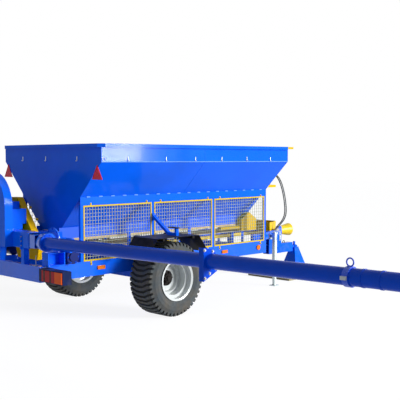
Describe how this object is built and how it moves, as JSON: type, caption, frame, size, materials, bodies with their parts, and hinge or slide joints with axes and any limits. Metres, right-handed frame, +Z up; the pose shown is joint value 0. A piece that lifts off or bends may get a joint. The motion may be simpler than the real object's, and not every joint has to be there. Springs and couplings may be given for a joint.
{
  "type": "lime spreader",
  "caption": "Towed spreader with a long V hopper on a two-wheeled frame, belt conveyor, rear fan and a pair of air booms that fold forward, on a parking jack.",
  "frame": {"origin": "on the ground under the middle of the bounding box", "axes": "+X towards the drawbar, +Y to the machine's left, +Z up"},
  "size_m": [6.73, 12.0022, 2.457],
  "materials": {
    "blue_paint": "gloss blue paint",
    "boom_paint": "gloss darker blue paint",
    "yellow_paint": "gloss yellow paint",
    "yellow_plastic": "satin yellow plastic tube",
    "black_paint": "satin black paint",
    "black_rubber": "matt black rubber",
    "tyre_rubber": "matt black rubber",
    "silver_paint": "satin silver paint",
    "belt_rubber": "dusty cream belt",
    "bare_steel": "bare steel",
    "cast_block": "painted casting",
    "galvanised": "zinc-coated steel",
    "lamp_plastic": "red and orange lens",
    "reflector_plastic": "red reflector",
    "amber_plastic": "amber reflector",
    "board_wood": "weathered olive board",
    "hose_rubber": "dark grey hose"
  },
  "bodies": {
    "chassis": {"air_duct": "blue_paint", "axle": "blue_paint", "bearing_box": "blue_paint", "belt_cover": "yellow_paint", "boom_motors": "black_paint", "boom_pedestals": "blue_paint", "boom_rests": "blue_paint", "chassis_frame": "blue_paint", "conveyor_belt": "belt_rubber", "conveyor_carriers": "blue_paint", "conveyor_drums": "bare_steel", "conveyor_frame": "belt_rubber", "crank_bracket": "yellow_paint", "cross_members": "blue_paint", "discharge_chute": "blue_paint", "drawbar": "blue_paint", "drawbar_feet": "blue_paint", "drive_cover": "yellow_paint", "elbows": "blue_paint", "fan_housing": "blue_paint", "fan_plate": "blue_paint", "hitch_eye": "blue_paint", "hitch_stand": "blue_paint", "hopper_ends": "blue_paint", "hopper_rim": "blue_paint", "hopper_wall_left": "blue_paint", "hopper_wall_right": "blue_paint", "hose_bracket": "yellow_paint", "hose_coupling": "bare_steel", "hose_inner": "hose_rubber", "hose_outer": "hose_rubber", "jack_tube": "galvanised", "lamp_boxes": "blue_paint", "lamp_lenses": "lamp_plastic", "mesh_guards": "yellow_paint", "mudguards": "black_paint", "pto_shield": "yellow_plastic", "pto_stub": "bare_steel", "rear_reflectors": "reflector_plastic", "rest_pads": "black_rubber", "shaft_bearings": "cast_block", "shaft_tube": "yellow_plastic", "side_frames": "blue_paint", "side_markers": "amber_plastic", "stand_board": "board_wood", "tool_tray": "yellow_paint"},
    "wheel_left": {"tyre_left": "tyre_rubber", "wheel_rim_left": "silver_paint", "wheel_hub_left": "black_paint"},
    "wheel_right": {"tyre_right": "tyre_rubber", "wheel_rim_right": "silver_paint", "wheel_hub_right": "black_paint"},
    "boom_left": {"boom_inner_left": "boom_paint", "boom_outer_left": "boom_paint", "boom_clamp_left": "galvanised"},
    "boom_right": {"boom_inner_right": "boom_paint", "boom_outer_right": "boom_paint", "boom_clamp_right": "galvanised"},
    "fan_impeller": {"fan_impeller": "bare_steel"},
    "jack_leg": {"jack_leg": "galvanised"}
  },
  "joints": [
    {"name": "wheel_left_spin", "type": "hinge", "parent": "chassis", "child": "wheel_left", "pos_m": [-1.355, 1.13, 0.535], "axis": [0, 1, 0], "continuous": true},
    {"name": "wheel_right_spin", "type": "hinge", "parent": "chassis", "child": "wheel_right", "pos_m": [-1.355, -1.13, 0.535], "axis": [0, 1, 0], "continuous": true},
    {"name": "boom_right_fold", "type": "hinge", "parent": "chassis", "child": "boom_right", "pos_m": [-2.955, -0.995, 1.13], "axis": [-0.0924, 0, 0.9957], "range_deg": [0, 90]},
    {"name": "boom_left_fold", "type": "hinge", "parent": "chassis", "child": "boom_left", "pos_m": [-2.955, 0.995, 1.13], "axis": [0.0924, 0, -0.9957], "range_deg": [0, 90]},
    {"name": "fan_spin", "type": "hinge", "parent": "chassis", "child": "fan_impeller", "pos_m": [-3.3, 0.415, 1.6], "axis": [1, 0, 0], "continuous": true},
    {"name": "jack_lift", "type": "slide", "parent": "chassis", "child": "jack_leg", "axis": [0, 0, 1], "range_m": [0, 0.25]}
  ]
}
